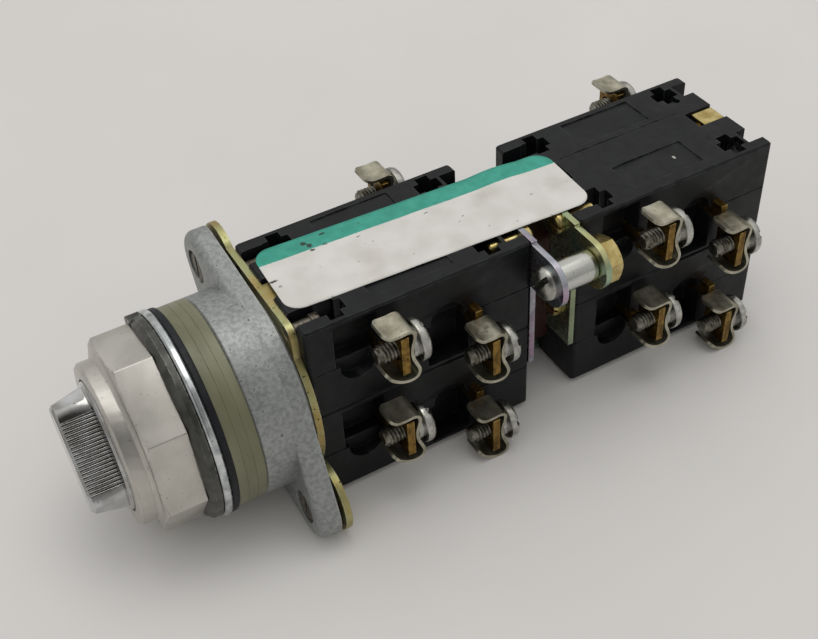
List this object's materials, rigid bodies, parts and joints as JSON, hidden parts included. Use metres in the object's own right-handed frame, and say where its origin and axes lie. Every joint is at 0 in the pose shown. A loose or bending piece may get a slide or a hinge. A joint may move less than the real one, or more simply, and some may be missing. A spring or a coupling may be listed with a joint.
{
  "type": "selector switch",
  "caption": "Panel-mounted rotary selector switch with a ribbed knob, round clamping nut and tandem pairs of contact blocks with side screw terminals",
  "frame": {"origin": "on the operator axis, in the panel seat: the front face of the rubber gasket", "axes": "+Y runs from the knob to the rear, +Z to the label, +X to the terminals on the right seen from the knob"},
  "size_m": [0.055, 0.1487, 0.0449],
  "materials": {
    "chrome_knob": "bright chrome plating over die casting",
    "cast_nut": "matt satin, light nicks on the corners",
    "dark_ring": "dark grey, half gloss",
    "zinc_washer": "bright zinc plating",
    "rubber_gasket": "smooth black rubber",
    "nylon_rings": "greenish grey nylon, half gloss",
    "die_cast": "mottled grey zinc die casting",
    "yellow_zinc_plate": "yellow chromate, worn at the edges",
    "adaptor_plating": "iridescent chromate",
    "zinc_steel": "zinc plating",
    "clamp_steel": "dull nickel plating",
    "brass": "aged brass",
    "moulded_black": "matt black moulded phenolic",
    "white_acetal": "natural acetal",
    "red_phenolic": "dark red moulded phenolic",
    "paper_label": "scuffed white paper with a teal stripe"
  },
  "bodies": {
    "frame": {"adaptor_nuts": "brass", "adaptor_plate_front": "adaptor_plating", "adaptor_plate_rear": "adaptor_plating", "adaptor_screws": "zinc_steel", "block_base_a_lower": "moulded_black", "block_base_a_upper": "moulded_black", "block_base_b_lower": "moulded_black", "block_base_b_upper": "moulded_black", "block_cover_a_lower": "moulded_black", "block_cover_a_upper": "moulded_black", "block_cover_b_lower": "moulded_black", "block_cover_b_upper": "moulded_black", "block_screws": "zinc_steel", "bright_washer": "zinc_washer", "coupling_guide": "red_phenolic", "detent_leaf": "zinc_steel", "ear_screws": "zinc_steel", "gasket": "rubber_gasket", "label": "paper_label", "locating_ring": "dark_ring", "mounting_nut": "cast_nut", "mounting_plate": "yellow_zinc_plate", "operator_housing": "die_cast", "plate_screws": "zinc_steel", "return_spring_a_lower": "zinc_steel", "return_spring_a_upper": "zinc_steel", "return_spring_b_lower": "zinc_steel", "return_spring_b_upper": "zinc_steel", "saddle_clamps_a": "clamp_steel", "saddle_clamps_b": "clamp_steel", "spacer_ring_1": "nylon_rings", "spacer_ring_2": "nylon_rings", "spacer_ring_3": "nylon_rings", "spacer_sleeves": "zinc_steel", "tail_inserts": "brass", "terminal_screws_a": "clamp_steel", "terminal_screws_b": "clamp_steel", "terminals_a_lower": "brass", "terminals_a_upper": "brass", "terminals_b_lower": "brass", "terminals_b_upper": "brass"},
    "knob": {"knob": "chrome_knob", "operator_shaft": "zinc_steel", "swash_cam": "white_acetal"},
    "column_upper": {"push_rod_upper": "white_acetal", "plunger_a_upper": "white_acetal", "bridges_a_upper": "brass", "plunger_b_upper": "white_acetal", "bridges_b_upper": "brass", "coupler_upper": "white_acetal"},
    "column_lower": {"push_rod_lower": "white_acetal", "plunger_a_lower": "white_acetal", "bridges_a_lower": "brass", "plunger_b_lower": "white_acetal", "bridges_b_lower": "brass", "coupler_lower": "white_acetal"}
  },
  "joints": [
    {"name": "knob_turn", "type": "hinge", "parent": "frame", "child": "knob", "pos_m": [0, 0, 0], "axis": [0, 1, 0], "range_deg": [-45, 45]},
    {"name": "upper_travel", "type": "slide", "parent": "frame", "child": "column_upper", "axis": [0, 1, 0], "range_m": [-0.0016, 0.0016], "deforming": ["return_spring_a_upper", "return_spring_b_upper"]},
    {"name": "lower_travel", "type": "slide", "parent": "frame", "child": "column_lower", "axis": [0, 1, 0], "range_m": [-0.0016, 0.0016], "deforming": ["return_spring_a_lower", "return_spring_b_lower"]}
  ],
  "couplings": [
    {"joint": "upper_travel", "follows": "knob_turn", "m_per_rad": -0.002},
    {"joint": "lower_travel", "follows": "knob_turn", "m_per_rad": 0.002}
  ]
}
